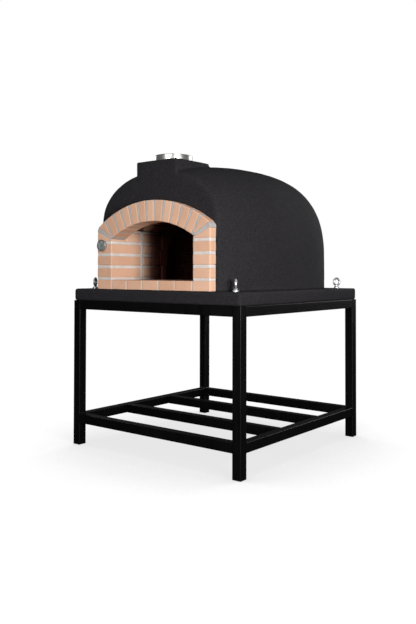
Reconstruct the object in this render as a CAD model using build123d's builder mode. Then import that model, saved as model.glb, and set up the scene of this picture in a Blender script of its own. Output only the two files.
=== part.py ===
from build123d import *
import math
import os

os.makedirs("parts", exist_ok=True)

# ---------------------------------------------------------------- driving dimensions (mm)
Y0 = 6.2                                  # stand centre, so that the whole part is centred on Y
# stand
STAND_W, STAND_D, STAND_H = 1163.0, 1182.0, 810.0
TUBE, WALL = 50.0, 3.0
SHELF_TOP = 172.0
SHELF_BAR_Y = 189.0
CAP_T = 3.0
WELD = 6.0
# slab and hearth
SLAB_T = 66.0
SLAB_TOP = STAND_H + SLAB_T
BOARD_T = 25.0
HEARTH = 927.0
TILE = 240.0
# bricks
BRICK_W, BRICK_H, BRICK_L = 110.0, 50.5, 232.0
COURSE = 65.7
JOINT = COURSE - BRICK_H
HALF_OPEN = 286.0
HALF_FRONT = HALF_OPEN + BRICK_W
COURSE_Z0 = 940.0
Y_BRICK = Y0 - 586.0
Y_ARCH_BACK = Y_BRICK + 112.0
Y_JAMB_BACK = Y_BRICK + BRICK_L
Y_RING_0 = Y_JAMB_BACK + 17.0
Y_RING_1 = Y_BRICK + 396.0
MORTAR_SET = 1.2
# front arch
ARCH_R = 540.0
ARCH_ZC = 1233.0 - ARCH_R
VOUSSOIR = 49.0
PITCH = 5.6
CORNER_R = 35.0
# inner vault (smoke hood and mouth ring)
VAULT_ZC, VAULT_R, VAULT_T = 882.0, 428.0, 62.0
SPRING_Z = 1200.0
# refractory dome
DOME_Y = Y0 + 112.0
CH_X, CH_Y, CH_TOP, CH_P, CH_N = 358.0, 300.0, 1385.0, 4.0, 2.3
DOME_T = 64.0
DOME_SPRING = 1010.0
BLANKET_T = 25.0
# rendered shell
SH_X, SH_Y, SH_P = 520.0, 614.0, 3.87
SH_YC = Y0 - 53.5
SH_Z0, SH_TOP, SH_N = 1007.5, 1558.0, 2.81
Y_FACE = Y0 - 544.0
FACE_HALF, FACE_Z1, FACE_TOP, FACE_M = 405.5, 1244.0, 1497.0, 2.2
RENDER = 22.0
FACE_FILLET = 30.0
# chimney
FLUE_Y = Y0 - 404.0
BLOCK_HALF, BLOCK_TOP = 141.0, 1558.0
THROAT_X, THROAT_Y0, THROAT_Y1 = 105.0, Y_ARCH_BACK + 10.0, Y_JAMB_BACK - 10.0
PED_Z0, FUNNEL_Z0, FUNNEL_Z1 = 1374.0, 1378.0, 1440.0
FLUE_R, FLUE_WALL, FLUE_TOP = 103.0, 2.0, 1593.0
# lifting eyes
EYE_X, EYE_Y = 494.0, 510.0
EYE_R, EYE_WIRE, EYE_Z = 20.5, 6.0, 34.0
# thermometer
TH_X, TH_Z = -351.0, 1115.0
TH_R, TH_DEEP = 32.0, 17.0
STEM_R, STEM_L = 3.5, 190.0


# ---------------------------------------------------------------- helpers
def prism_y(points, y0, y1):
    """A straight prism along Y whose X-Z outline is a closed polygon."""
    with BuildPart(mode=Mode.PRIVATE) as p:
        with BuildSketch(Plane(origin=(0, y1, 0), x_dir=(1, 0, 0), z_dir=(0, -1, 0))):
            with BuildLine():
                Polyline(*points, close=True)
            make_face()
        extrude(amount=y1 - y0)
    return p.part


def box(x0, x1, y0, y1, z0, z1):
    """A plain block given by its two corners."""
    with BuildPart(mode=Mode.PRIVATE) as p:
        with Locations(((x0 + x1) / 2, (y0 + y1) / 2, (z0 + z1) / 2)):
            Box(x1 - x0, y1 - y0, z1 - z0)
    return p.part


def disc_y(x, z, r, y0, y1):
    """A round bar along Y."""
    with BuildPart(mode=Mode.PRIVATE) as p:
        with BuildSketch(Plane(origin=(x, y1, z), x_dir=(1, 0, 0), z_dir=(0, -1, 0))):
            Circle(r)
        extrude(amount=y1 - y0)
    return p.part


def disc_z(x, y, r, z0, z1):
    """A round bar along Z."""
    with BuildPart(mode=Mode.PRIVATE) as p:
        with BuildSketch(Plane.XY.offset(z0)):
            with Locations((x, y)):
                Circle(r)
        extrude(amount=z1 - z0)
    return p.part


def barrel(r, half, z0, y0, y1, zc=VAULT_ZC):
    """A straight-sided tunnel with a round top: |x| <= half, round part of radius r about zc."""
    zs = zc + math.sqrt(r * r - half * half)
    with BuildPart(mode=Mode.PRIVATE) as p:
        with BuildSketch(Plane(origin=(0, y1, 0), x_dir=(1, 0, 0), z_dir=(0, -1, 0))):
            with BuildLine():
                Polyline((-half, zs), (-half, z0), (half, z0), (half, zs))
                ThreePointArc((half, zs), (0, zc + r), (-half, zs))
            make_face()
        extrude(amount=y1 - y0)
    return p.part


def shared(a, b, least):
    """The solids that two forms share, leaving out slivers under least mm3."""
    both = a & b
    return [] if both is None else [one for one in both.solids() if one.volume > least]


def polar(r, deg, zc=ARCH_ZC):
    """Point at radius r, deg from straight up, in the X-Z plane."""
    a = math.radians(deg)
    return (r * math.sin(a), zc + r * math.cos(a))


def spow(v, e):
    return math.copysign(abs(v) ** e, v)


def loft_rings(rings):
    """A solid through closed smooth horizontal rings: list of (z, points)."""
    with BuildPart(mode=Mode.PRIVATE) as p:
        for z, pts in rings:
            with BuildSketch(Plane.XY.offset(z)):
                with BuildLine():
                    Spline(*pts, periodic=True)
                make_face()
        loft()
    return p.part


def oven_dome(off):
    """The dome's outer form, moved inwards by off, cut flat at the front."""
    top = SH_TOP - off
    levels = [SLAB_TOP, 940.0, SH_Z0]
    steps = (0.16, 0.3, 0.42, 0.53, 0.63, 0.71, 0.78, 0.84, 0.885, 0.92, 0.947, 0.968, 0.984, 0.994, 0.9988)
    levels += [SH_Z0 + (top - SH_Z0) * t for t in steps]
    depth = SH_YC - Y_FACE
    rings = []
    for z in levels:
        t = max(0.0, (z - SH_Z0) / (top - SH_Z0))
        s = (1 - t ** SH_N) ** (1 / SH_N)
        a, b = (SH_X - off) * s, (SH_Y - off) * s
        zf = z + off                                     # same place on the un-offset form
        u = min(1.0, max(0.0, (zf - FACE_Z1) / (FACE_TOP - FACE_Z1)))
        w = (FACE_HALF + 0.02 * max(0.0, FACE_Z1 - zf)) * (1 - u * u) ** (1 / FACE_M)
        if zf < FACE_TOP:
            front = depth / math.sqrt(1 - min(0.9, w / (SH_X * max(s, 0.1))) ** 2)
        else:
            front = depth * math.sqrt(max(0.0, (SH_TOP - zf) / (SH_TOP - FACE_TOP)))
        front = max(front - off * 0.2, b * 0.35)
        pts = []
        n = 22
        for i in range(n):
            q = math.pi * (i + 0.5) / n
            pts.append((a * spow(math.cos(q), 2 / SH_P), SH_YC + b * math.sin(q) ** (2 / SH_P)))
        m = 14
        for i in range(m):
            q = math.pi * (i + 0.5) / m
            pts.append((-a * math.cos(q), SH_YC - front * math.sin(q)))
        rings.append((z, pts))
    solid = loft_rings(rings)
    with BuildPart(mode=Mode.PRIVATE) as p:
        add(solid)
        add(box(-700, 700, -1500, Y_FACE + off, 0, 2000), mode=Mode.SUBTRACT)
        if off == 0:
            face = p.faces().filter_by(Axis.Y).sort_by(Axis.Y)[0]
            fillet([e for e in face.edges() if e.center().Z > SLAB_TOP + 1], FACE_FILLET)
    return p.part


def chamber_form(off, z0, y_shift=0.0):
    """The refractory dome's inner form, moved outwards by off."""
    top = CH_TOP + off
    levels = [z0, DOME_SPRING]
    steps = (0.2, 0.36, 0.5, 0.62, 0.72, 0.8, 0.87, 0.92, 0.955, 0.978, 0.992, 0.9988)
    levels += [DOME_SPRING + (top - DOME_SPRING) * t for t in steps]
    rings = []
    for z in levels:
        t = max(0.0, (z - DOME_SPRING) / (top - DOME_SPRING))
        s = (1 - t ** CH_N) ** (1 / CH_N)
        pts = []
        n = 28
        for i in range(n):
            q = 2 * math.pi * (i + 0.5) / n
            pts.append(((CH_X + off) * s * spow(math.cos(q), 2 / CH_P),
                        DOME_Y + (CH_Y + off) * s * spow(math.sin(q), 2 / CH_P)))
        rings.append((z, pts))
    return loft_rings(rings)


def front_outline(grow, y0, y1):
    """Outline of the brick front: straight sides, small corner, big arc."""
    r_out = ARCH_R + 112.0 + grow
    half = HALF_FRONT + grow
    cr = CORNER_R + grow
    xc = HALF_FRONT - CORNER_R                           # corner circle, tangent to both
    zc = ARCH_ZC + math.sqrt((r_out - cr) ** 2 - xc ** 2)
    k = r_out / (r_out - cr)
    tx, tz = xc * k, ARCH_ZC + (zc - ARCH_ZC) * k
    am = (math.atan2(zc - ARCH_ZC, xc)) / 2
    mx, mz = xc + cr * math.cos(am), zc + cr * math.sin(am)
    with BuildPart(mode=Mode.PRIVATE) as p:
        with BuildSketch(Plane(origin=(0, y1, 0), x_dir=(1, 0, 0), z_dir=(0, -1, 0))):
            with BuildLine():
                Polyline((-half, zc), (-half, SLAB_TOP - grow), (half, SLAB_TOP - grow), (half, zc))
                ThreePointArc((half, zc), (mx, mz), (tx, tz))
                ThreePointArc((tx, tz), (0, ARCH_ZC + r_out), (-tx, tz))
                ThreePointArc((-tx, tz), (-mx, mz), (-half, zc))
            make_face()
        extrude(amount=y1 - y0)
    return p.part


# ---------------------------------------------------------------- stand
X_LEG, Y_LEG = STAND_W / 2 - TUBE / 2, STAND_D / 2 - TUBE / 2
CORNERS = {"front_left": (-1, -1), "front_right": (1, -1), "rear_left": (-1, 1), "rear_right": (1, 1)}

for label, (sx, sy) in CORNERS.items():
    with BuildPart() as leg:
        with Locations((sx * X_LEG, Y0 + sy * Y_LEG, CAP_T + (STAND_H - CAP_T) / 2)):
            Box(TUBE, TUBE, STAND_H - CAP_T)
        fillet(leg.edges().filter_by(Axis.Z), 4.0)
        with Locations((sx * X_LEG, Y0 + sy * Y_LEG, CAP_T + (STAND_H - CAP_T) / 2)):
            Box(TUBE - 2 * WALL, TUBE - 2 * WALL, STAND_H - CAP_T, mode=Mode.SUBTRACT)
    leg.part.label = f"leg_{label}"
    export_step(leg.part, f"parts/leg_{label}.step")


def rail(length, along_x):
    """A square tube, open at both ends, centred on the origin."""
    size = (length, TUBE, TUBE) if along_x else (TUBE, length, TUBE)
    bore = (length, TUBE - 2 * WALL, TUBE - 2 * WALL) if along_x else (TUBE - 2 * WALL, length, TUBE - 2 * WALL)
    with BuildPart(mode=Mode.PRIVATE) as p:
        Box(*size)
        fillet(p.edges().filter_by(Axis.X if along_x else Axis.Y), 4.0)
        Box(*bore, mode=Mode.SUBTRACT)
    return p.part


RAIL_X, RAIL_Y = STAND_W - 2 * TUBE, STAND_D - 2 * TUBE
TOP_Z, LOW_Z = STAND_H - TUBE / 2, SHELF_TOP - TUBE / 2
RAILS = {
    "front": (RAIL_X, True, 0, -Y_LEG), "rear": (RAIL_X, True, 0, Y_LEG),
    "left": (RAIL_Y, False, -X_LEG, 0), "right": (RAIL_Y, False, X_LEG, 0),
}
for label, (length, along_x, px, py) in RAILS.items():
    with BuildPart() as top_rail:
        with Locations((px, Y0 + py, TOP_Z)):
            add(rail(length, along_x))
    top_rail.part.label = f"top_rail_{label}"
    export_step(top_rail.part, f"parts/top_rail_{label}.step")
    with BuildPart() as low_rail:
        with Locations((px, Y0 + py, LOW_Z)):
            add(rail(length, along_x))
    low_rail.part.label = f"low_rail_{label}"
    export_step(low_rail.part, f"parts/low_rail_{label}.step")

for label, sy in (("front", -1), ("rear", 1)):
    with BuildPart() as shelf_bar:
        with Locations((0, Y0 + sy * SHELF_BAR_Y, LOW_Z)):
            add(rail(RAIL_X, True))
    shelf_bar.part.label = f"shelf_bar_{label}"
    export_step(shelf_bar.part, f"parts/shelf_bar_{label}.step")
    with BuildPart() as cross_bar:
        with Locations((0, Y0 + sy * SHELF_BAR_Y, TOP_Z)):
            add(rail(RAIL_X, True))
    cross_bar.part.label = f"cross_bar_{label}"
    export_step(cross_bar.part, f"parts/cross_bar_{label}.step")

with BuildPart() as foot_caps:
    for sx, sy in CORNERS.values():
        with Locations((sx * X_LEG, Y0 + sy * Y_LEG, CAP_T / 2)):
            Box(TUBE - 2, TUBE - 2, CAP_T)
        with Locations((sx * X_LEG, Y0 + sy * Y_LEG, CAP_T + 9)):
            Box(TUBE - 2 * WALL - 0.4, TUBE - 2 * WALL - 0.4, 18)
foot_caps.part.label = "foot_caps"
export_step(foot_caps.part, "parts/foot_caps.step")

# weld beads in the corners below every rail end, and above the shelf rails
with BuildPart() as weld_beads:
    half = TUBE / 2 - 7
    for sx, sy in CORNERS.values():
        cx, cy = sx * X_LEG, Y0 + sy * Y_LEG
        ix, iy = cx - sx * (TUBE / 2 + 0.05), cy - sy * (TUBE / 2 + 0.05)
        for z, up in ((STAND_H - TUBE - 0.05, -1), (SHELF_TOP - TUBE - 0.05, -1), (SHELF_TOP + 0.05, 1)):
            for axis in ("x", "y"):
                if axis == "x":
                    pl = Plane(origin=(ix, cy - half, z), x_dir=(1, 0, 0), z_dir=(0, 1, 0))
                    tri = [(0, 0), (-sx * WELD, 0), (0, -up * WELD)]
                else:
                    pl = Plane(origin=(cx - half, iy, z), x_dir=(0, 1, 0), z_dir=(1, 0, 0))
                    tri = [(0, 0), (-sy * WELD, 0), (0, up * WELD)]
                with BuildSketch(pl):
                    with BuildLine():
                        Polyline(*tri, close=True)
                    make_face()
                extrude(amount=2 * half)
weld_beads.part.label = "weld_beads"
export_step(weld_beads.part, "parts/weld_beads.step")

# ---------------------------------------------------------------- slab, lifting ferrules and eyes
FERRULE_R, THREAD_R, SHANK_L = 10.0, 6.05, 34.0
with BuildPart() as base_slab:
    with Locations((0, Y0, STAND_H + SLAB_T / 2)):
        Box(STAND_W, STAND_D, SLAB_T)
    fillet(base_slab.edges().filter_by(Axis.Z), 14.0)
    fillet(base_slab.faces().sort_by(Axis.Z)[-1].edges(), 5.0)
    fillet(base_slab.faces().sort_by(Axis.Z)[0].edges(), 4.0)
    add(chamber_form(DOME_T - 20, SLAB_TOP - BOARD_T), mode=Mode.SUBTRACT)
    for sx in (-1, 1):
        for sy in (-1, 1):
            add(disc_z(sx * EYE_X, Y0 + sy * EYE_Y, FERRULE_R, SLAB_TOP - 44, SLAB_TOP + 1), mode=Mode.SUBTRACT)
base_slab.part.label = "base_slab"
export_step(base_slab.part, "parts/base_slab.step")

with BuildPart() as ferrules:
    for sx in (-1, 1):
        for sy in (-1, 1):
            add(disc_z(sx * EYE_X, Y0 + sy * EYE_Y, FERRULE_R, SLAB_TOP - 44, SLAB_TOP))
            add(disc_z(sx * EYE_X, Y0 + sy * EYE_Y, THREAD_R, SLAB_TOP - 38, SLAB_TOP + 1), mode=Mode.SUBTRACT)
ferrules.part.label = "ferrules"
export_step(ferrules.part, "parts/ferrules.step")

EYE_TURN = {"front_left": 30.0, "front_right": 36.0, "rear_left": 15.0, "rear_right": -23.0}
for label, (sx, sy) in CORNERS.items():
    ex, ey = sx * EYE_X, Y0 + sy * EYE_Y
    z = SLAB_TOP + 0.4
    with BuildPart() as eye:
        with BuildSketch(Plane.XY.offset(z)):
            Circle(15.5)
        extrude(amount=6.5)
        with BuildSketch(Plane.XY.offset(z + 6.5)):
            Circle(15.5)
        with BuildSketch(Plane.XY.offset(z + 13.0)):
            Circle(8.5)
        loft()
        with BuildSketch(Plane.XY.offset(z + 13.0)):
            Circle(8.5)
        extrude(amount=5.0)
        with BuildSketch(Plane.XY.offset(z + EYE_Z + 3)):
            with Locations((EYE_R, 0)):
                Circle(EYE_WIRE)
        revolve(axis=Axis((0, 0, z + EYE_Z + 3), (0, 1, 0)))
        with BuildPart(mode=Mode.PRIVATE) as shank:
            with Locations((0, 0, z + 1 - SHANK_L / 2)):
                Cylinder(THREAD_R - 0.05, SHANK_L)
            chamfer(shank.edges().sort_by(Axis.Z)[0], 1.0)
        add(shank.part)
    with BuildPart() as eye_bolt:
        with Locations(Location((ex, ey, 0), (0, 0, 90 + EYE_TURN[label]))):
            add(eye.part)
    eye_bolt.part.label = f"eye_bolt_{label}"
    export_step(eye_bolt.part, f"parts/eye_bolt_{label}.step")

# ---------------------------------------------------------------- hearth
with BuildPart() as hearth_board:
    add(chamber_form(DOME_T - 21, SLAB_TOP - BOARD_T))
    add(box(-900, 900, -900, 900, SLAB_TOP - 0.4, 2000), mode=Mode.SUBTRACT)
hearth_board.part.label = "hearth_board"
export_step(hearth_board.part, "parts/hearth_board.step")

hearth_area = chamber_form(DOME_T, SLAB_TOP)
with BuildPart() as hearth_zone:
    add(hearth_area)
    add(box(-HALF_FRONT, HALF_FRONT, Y_JAMB_BACK + 3, DOME_Y, SLAB_TOP, HEARTH))
    add(box(-900, 900, -900, 900, HEARTH, 2000), mode=Mode.SUBTRACT)
with BuildPart() as hearth_tiles:
    nx, ny = 4, 4
    for i in range(nx):
        for j in range(ny):
            cx = (i - (nx - 1) / 2) * TILE
            y0 = Y_JAMB_BACK + 3 + j * TILE
            one = box(cx - TILE / 2 + 0.6, cx + TILE / 2 - 0.6, y0 + 0.6, y0 + TILE - 0.6, SLAB_TOP, HEARTH)
            for piece in shared(one, hearth_zone.part, 1000):
                add(piece)
hearth_tiles.part.label = "hearth_tiles"
export_step(hearth_tiles.part, "parts/hearth_tiles.step")

# ---------------------------------------------------------------- brick front
SILL_PITCH = 2 * HALF_FRONT / 7
with BuildPart() as sill_bricks:
    for i in range(7):
        cx = (i - 3) * SILL_PITCH
        add(box(cx - SILL_PITCH / 2 + (1.8 if i else 0), cx + SILL_PITCH / 2 - (1.8 if i < 6 else 0),
                Y_BRICK, Y_JAMB_BACK, SLAB_TOP, HEARTH))
sill_bricks.part.label = "sill_bricks"
export_step(sill_bricks.part, "parts/sill_bricks.step")

z_skew = COURSE_Z0 + 3 * COURSE
SKEW_TOP = 1190.5
SLEEVE_R, SLEEVE_BORE, SLEEVE_END = 5.5, STEM_R + 0.05, Y_BRICK + 205.0
for label, sx in (("left", -1), ("right", 1)):
    xa, xb = sorted((sx * HALF_OPEN, sx * HALF_FRONT))
    with BuildPart() as jamb:
        for k in range(3):
            zk = COURSE_Z0 + k * COURSE
            add(box(xa, xb, Y_BRICK, Y_JAMB_BACK, zk, zk + BRICK_H))
        skew = [(HALF_OPEN, z_skew), (HALF_FRONT, z_skew), (HALF_FRONT, SKEW_TOP), (297.0, 1149.5), (HALF_OPEN, 1149.5)]
        add(prism_y([(sx * x, z) for x, z in skew], Y_BRICK, Y_ARCH_BACK))
        add(box(xa, xb, Y_ARCH_BACK + 1, Y_JAMB_BACK, z_skew, z_skew + BRICK_H))
        if sx < 0:
            add(disc_y(TH_X, TH_Z, SLEEVE_R, Y_BRICK - 1, SLEEVE_END), mode=Mode.SUBTRACT)
    jamb.part.label = f"jamb_{label}"
    export_step(jamb.part, f"parts/jamb_{label}.step")

outline = front_outline(0.0, Y_BRICK, Y_ARCH_BACK)
outline_in = front_outline(-1.0, Y_BRICK + MORTAR_SET, Y_ARCH_BACK)
number = 0
arch_bricks = []
for k in range(-6, 7):
    number += 1
    with BuildPart() as voussoir:
        if abs(k) < 6:
            h = VOUSSOIR / 2
            a = math.radians(k * PITCH)
            pts = []
            for u, r in ((-h, ARCH_R), (-h, ARCH_R + 111.5), (h, ARCH_R + 111.5), (h, ARCH_R)):
                pts.append((u * math.cos(a) + r * math.sin(a), ARCH_ZC - u * math.sin(a) + r * math.cos(a)))
            add(prism_y(pts, Y_BRICK, Y_ARCH_BACK))
        else:
            s = 1 if k > 0 else -1
            inner, outer = polar(ARCH_R, 31.2), polar(ARCH_R + 130, 31.5)
            pts = [(s * inner[0], inner[1]), (s * outer[0], outer[1]), (s * 430, 1290.0), (s * 430, 1241.0),
                   (s * 292.0, 1161.0), (s * 287.0, 1159.5)]
            add(prism_y(pts, Y_BRICK, Y_ARCH_BACK))
            add(outline, mode=Mode.INTERSECT)
    voussoir.part.label = f"voussoir_{number:02d}"
    export_step(voussoir.part, f"parts/voussoir_{number:02d}.step")
    arch_bricks.append(voussoir.part)

with BuildPart() as arch_mortar:
    add(outline_in)
    add(disc_y(0, ARCH_ZC, ARCH_R + 1.6, Y_BRICK - 5, Y_ARCH_BACK + 5), mode=Mode.SUBTRACT)
    add(box(-600, 600, Y_BRICK - 5, Y_ARCH_BACK + 5, 0, 1150.0), mode=Mode.SUBTRACT)
    for brick in arch_bricks:
        add(brick, mode=Mode.SUBTRACT)
    for s in (-1, 1):
        below = [(s * 280, 1100), (s * 450, 1100), (s * 450, 1212.9), (s * HALF_FRONT, SKEW_TOP), (s * 297, 1149.5),
                 (s * 280, 1149.5)]
        add(prism_y(below, Y_BRICK - 5, Y_ARCH_BACK + 5), mode=Mode.SUBTRACT)
arch_mortar.part.label = "arch_mortar"
export_step(arch_mortar.part, "parts/arch_mortar.step")

bed_z = [(HEARTH, COURSE_Z0)]
for k in range(3):
    bed_z.append((COURSE_Z0 + k * COURSE + BRICK_H, COURSE_Z0 + (k + 1) * COURSE))
with BuildPart() as bed_mortar:
    for i in range(6):
        cx = (i - 2.5) * SILL_PITCH
        add(box(cx - 1.8, cx + 1.8, Y_BRICK + MORTAR_SET, Y_JAMB_BACK - 0.5, SLAB_TOP, HEARTH - 0.8))
    for sx in (-1, 1):
        xa, xb = sorted((sx * (HALF_OPEN + MORTAR_SET), sx * (HALF_FRONT - MORTAR_SET)))
        for za, zb in bed_z:
            add(box(xa, xb, Y_BRICK + MORTAR_SET, Y_JAMB_BACK - 0.5, za, zb))
            add(box(xa, xb, Y_RING_0 + 0.5, Y_RING_1 - MORTAR_SET, za, zb))
        add(box(xa, xb, Y_JAMB_BACK, Y_RING_0, HEARTH, SPRING_Z - 0.5))
        add(box(xa, xb, Y_ARCH_BACK + 1, Y_JAMB_BACK - 0.5, z_skew + BRICK_H, SPRING_Z))
        add(box(xa, xb, Y_RING_0 + 0.5, Y_RING_1 - MORTAR_SET, z_skew + BRICK_H, SPRING_Z))
bed_mortar.part.label = "bed_mortar"
export_step(bed_mortar.part, "parts/bed_mortar.step")

# ---------------------------------------------------------------- mouth of the dome
with BuildPart() as mouth_bricks:
    for sx in (-1, 1):
        xa, xb = sorted((sx * HALF_OPEN, sx * HALF_FRONT))
        for k in range(4):
            zk = COURSE_Z0 + k * COURSE
            add(box(xa, xb, Y_RING_0, Y_RING_1, zk, zk + BRICK_H))
    n_ring = 11
    span = math.degrees(math.asin((HALF_OPEN) / VAULT_R)) * 2
    for k in range(n_ring):
        a0 = -span / 2 + span * k / n_ring + (0.4 if k else 0)
        a1 = -span / 2 + span * (k + 1) / n_ring - (0.4 if k < n_ring - 1 else 0)
        with BuildPart(mode=Mode.PRIVATE) as wedge:
            r0, r1 = VAULT_R, VAULT_R + VAULT_T
            mid = (a0 + a1) / 2
            with BuildSketch(Plane(origin=(0, Y_RING_1, 0), x_dir=(1, 0, 0), z_dir=(0, -1, 0))):
                with BuildLine():
                    ThreePointArc(polar(r0, a0, VAULT_ZC), polar(r0, mid, VAULT_ZC), polar(r0, a1, VAULT_ZC))
                    Line(polar(r0, a1, VAULT_ZC), polar(r1, a1, VAULT_ZC))
                    ThreePointArc(polar(r1, a1, VAULT_ZC), polar(r1, mid, VAULT_ZC), polar(r1, a0, VAULT_ZC))
                    Line(polar(r1, a0, VAULT_ZC), polar(r0, a0, VAULT_ZC))
                make_face()
            extrude(amount=Y_RING_1 - Y_RING_0)
            add(box(-600, 600, Y_RING_0 - 5, Y_RING_1 + 5, 0, SPRING_Z + 0.3), mode=Mode.SUBTRACT)
        add(wedge.part)
mouth_bricks.part.label = "mouth_bricks"
export_step(mouth_bricks.part, "parts/mouth_bricks.step")

# ---------------------------------------------------------------- smoke hood over the vestibule
with BuildPart() as smoke_hood:
    add(barrel(VAULT_R + VAULT_T, HALF_FRONT - 24, SPRING_Z + 0.3, Y_ARCH_BACK + 1, Y_JAMB_BACK))
    add(box(-125, 125, Y_ARCH_BACK + 1, Y_JAMB_BACK, 1330, FUNNEL_Z0))
    add(box(-116, 116, FLUE_Y - 116, FLUE_Y + 116, PED_Z0, FUNNEL_Z1))
    add(barrel(VAULT_R, HALF_OPEN, SPRING_Z - 20, Y_ARCH_BACK - 5, Y_JAMB_BACK + 5), mode=Mode.SUBTRACT)
    add(box(-THROAT_X, THROAT_X, THROAT_Y0, THROAT_Y1, 1200, FUNNEL_Z0 + 1), mode=Mode.SUBTRACT)
    with BuildPart(mode=Mode.PRIVATE) as funnel:
        with BuildSketch(Plane.XY.offset(FUNNEL_Z0)):
            with Locations((0, (THROAT_Y0 + THROAT_Y1) / 2)):
                RectangleRounded(2 * THROAT_X, THROAT_Y1 - THROAT_Y0, 20)
        with BuildSketch(Plane.XY.offset(FUNNEL_Z1 + 1)):
            with Locations((0, FLUE_Y)):
                Circle(FLUE_R - FLUE_WALL - 1)
        loft()
    add(funnel.part, mode=Mode.SUBTRACT)
smoke_hood.part.label = "smoke_hood"
export_step(smoke_hood.part, "parts/smoke_hood.step")

with BuildPart() as flue_collar:
    with BuildSketch(Plane.XY.offset(FUNNEL_Z1 + 0.2)):
        with Locations((0, FLUE_Y)):
            RectangleRounded(228, 228, 8)
            Circle(FLUE_R - FLUE_WALL, mode=Mode.SUBTRACT)
    extrude(amount=2.0)
    with BuildSketch(Plane.XY.offset(FUNNEL_Z1 + 2.0)):
        with Locations((0, FLUE_Y)):
            Circle(FLUE_R)
            Circle(FLUE_R - FLUE_WALL, mode=Mode.SUBTRACT)
    extrude(amount=FLUE_TOP - FUNNEL_Z1 - 2.0)
flue_collar.part.label = "flue_collar"
export_step(flue_collar.part, "parts/flue_collar.step")

# ---------------------------------------------------------------- refractory dome
dome_out = chamber_form(DOME_T, HEARTH)
dome_in = chamber_form(0.0, HEARTH)
ring_outer = barrel(VAULT_R + VAULT_T + 0.4, HALF_FRONT + 0.4, SLAB_TOP, Y_RING_0 - 120, Y_RING_1 + 0.3)
ring_clear = barrel(VAULT_R, HALF_OPEN, SLAB_TOP, Y_RING_0 - 120, DOME_Y)

with BuildPart() as dome_shell:
    add(dome_out)
    add(dome_in, mode=Mode.SUBTRACT)
    add(ring_outer, mode=Mode.SUBTRACT)
    add(ring_clear, mode=Mode.SUBTRACT)

N_COURSE, N_BLOCK = 5, 16
CROWN_Z = 1352.0
course_h = (CROWN_Z - HEARTH) / N_COURSE
def wall_point(off, z, deg):
    """Point on the refractory dome's form moved outwards by off, at height z and bearing deg."""
    t = max(0.0, (z - DOME_SPRING) / (CH_TOP + off - DOME_SPRING))
    s = (1 - t ** CH_N) ** (1 / CH_N)
    ca, sa = math.cos(math.radians(deg)), math.sin(math.radians(deg))
    r = s * (abs(ca / (CH_X + off)) ** CH_P + abs(sa / (CH_Y + off)) ** CH_P) ** (-1 / CH_P)
    return (r * ca, DOME_Y + r * sa)


def block(z0, z1, a0, a1):
    """One flat-faced dome brick between two heights and two bearings."""
    with BuildPart(mode=Mode.PRIVATE) as p:
        for z in (z0, z1):
            ring = [wall_point(0, z, a0), wall_point(DOME_T - 2, z, a0)]
            ring += [wall_point(DOME_T - 2, z, a1), wall_point(0, z, a1)]
            with BuildSketch(Plane.XY.offset(z)):
                with BuildLine():
                    Polyline(*ring, close=True)
                make_face()
        loft(ruled=True)
    return p.part


mouth_cut = ring_outer + ring_clear
with BuildPart() as dome_bricks:
    for c in range(N_COURSE):
        z0, z1 = HEARTH + c * course_h, HEARTH + (c + 1) * course_h - 3.0
        for b in range(N_BLOCK):
            a0 = 360.0 / N_BLOCK * (b + 0.5 * (c % 2)) + 0.4
            a1 = a0 + 360.0 / N_BLOCK - 0.8
            brick = block(z0, z1, a0, a1)
            if 180 < (a0 + a1) / 2 < 360:
                left = brick - mouth_cut
                pieces = [one for one in left.solids() if one.volume > 20000] if left is not None else []
            else:
                pieces = brick.solids()
            for piece in pieces:
                add(piece)
dome_bricks.part.label = "dome_bricks"
export_step(dome_bricks.part, "parts/dome_bricks.step")

with BuildPart() as dome_crown:
    add(dome_shell.part)
    add(box(-700, 700, -700, 700, 0, CROWN_Z), mode=Mode.SUBTRACT)
dome_crown.part.label = "dome_crown"
export_step(dome_crown.part, "parts/dome_crown.step")

# ---------------------------------------------------------------- insulation
with BuildPart() as fibre_blanket:
    add(chamber_form(DOME_T + BLANKET_T, HEARTH))
    add(chamber_form(DOME_T + 0.3, HEARTH - 5), mode=Mode.SUBTRACT)
    add(ring_outer, mode=Mode.SUBTRACT)
fibre_blanket.part.label = "fibre_blanket"
export_step(fibre_blanket.part, "parts/fibre_blanket.step")


def chimney_block(off):
    """The chimney block's form, moved inwards by off."""
    half, top = BLOCK_HALF - off, BLOCK_TOP - off
    y0, y1 = Y_FACE + off, 2 * FLUE_Y - Y_FACE - off
    with BuildPart(mode=Mode.PRIVATE) as p:
        with Locations((0, (y0 + y1) / 2, (1380 + top) / 2)):
            Box(2 * half, y1 - y0, top - 1380)
        if off == 0:
            fillet(p.edges().filter_by(Axis.Z).sort_by(Axis.Y)[-2:], 12.0)
    return p.part


cavity_dome = oven_dome(RENDER)
with BuildPart() as cavity:
    add(cavity_dome)
    add(chimney_block(RENDER))

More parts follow.
